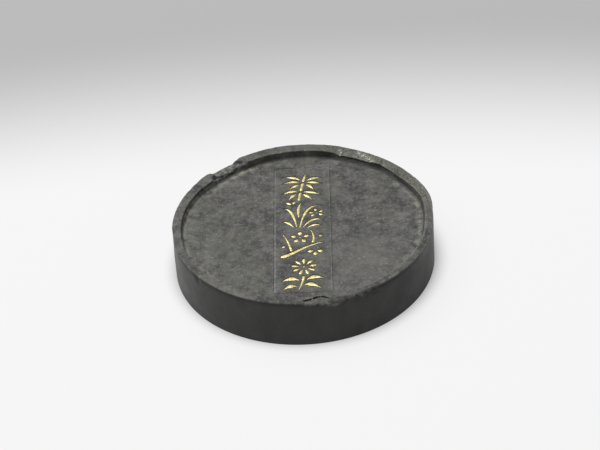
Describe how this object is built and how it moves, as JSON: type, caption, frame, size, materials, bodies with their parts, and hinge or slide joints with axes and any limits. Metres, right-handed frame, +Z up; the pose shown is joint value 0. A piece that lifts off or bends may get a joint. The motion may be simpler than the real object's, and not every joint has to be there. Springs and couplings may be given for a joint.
{
  "type": "ink cake",
  "caption": "Round moulded ink stick with raised rims, a chipped edge and an upright panel of gilded plants sunk in its face.",
  "frame": {"origin": "centre of the foot, on the surface that the cake lies on", "axes": "+Z up, out of the gilded face; +Y along the column of plants, towards the bamboo at its top"},
  "size_m": [0.112, 0.112, 0.022],
  "materials": {
    "ink": "matte",
    "gold": "satin"
  },
  "bodies": {
    "root": {"gilt_bamboo_cane_low": "gold", "gilt_bamboo_cane_middle": "gold", "gilt_bamboo_cane_top": "gold", "gilt_bamboo_leaf_1": "gold", "gilt_bamboo_leaf_10": "gold", "gilt_bamboo_leaf_2": "gold", "gilt_bamboo_leaf_3": "gold", "gilt_bamboo_leaf_4": "gold", "gilt_bamboo_leaf_5": "gold", "gilt_bamboo_leaf_6": "gold", "gilt_bamboo_leaf_7": "gold", "gilt_bamboo_leaf_8": "gold", "gilt_bamboo_leaf_9": "gold", "gilt_chrysanthemum_flower_heart": "gold", "gilt_chrysanthemum_leaf_1": "gold", "gilt_chrysanthemum_leaf_2": "gold", "gilt_chrysanthemum_leaf_3": "gold", "gilt_chrysanthemum_leaf_4": "gold", "gilt_chrysanthemum_petal_1": "gold", "gilt_chrysanthemum_petal_2": "gold", "gilt_chrysanthemum_petal_3": "gold", "gilt_chrysanthemum_petal_4": "gold", "gilt_chrysanthemum_petal_5": "gold", "gilt_chrysanthemum_petal_6": "gold", "gilt_chrysanthemum_petal_7": "gold", "gilt_chrysanthemum_petal_8": "gold", "gilt_chrysanthemum_petal_9": "gold", "gilt_chrysanthemum_stem": "gold", "gilt_orchid_blade_1": "gold", "gilt_orchid_blade_2": "gold", "gilt_orchid_blade_3": "gold", "gilt_orchid_blade_4": "gold", "gilt_orchid_blade_5": "gold", "gilt_orchid_blade_6": "gold", "gilt_orchid_bud_1": "gold", "gilt_orchid_bud_2": "gold", "gilt_orchid_flower_heart": "gold", "gilt_orchid_petal_1": "gold", "gilt_orchid_petal_2": "gold", "gilt_orchid_petal_3": "gold", "gilt_orchid_petal_4": "gold", "gilt_orchid_petal_5": "gold", "gilt_plum_branch": "gold", "gilt_plum_bud_1": "gold", "gilt_plum_bud_2": "gold", "gilt_plum_flower_heart": "gold", "gilt_plum_petal_1": "gold", "gilt_plum_petal_2": "gold", "gilt_plum_petal_3": "gold", "gilt_plum_petal_4": "gold", "gilt_plum_petal_5": "gold", "gilt_plum_side_petal_1": "gold", "gilt_plum_side_petal_2": "gold", "gilt_plum_side_petal_3": "gold", "gilt_plum_twig_left": "gold", "gilt_plum_twig_right": "gold", "ink_cake": "ink"}
  },
  "joints": []
}
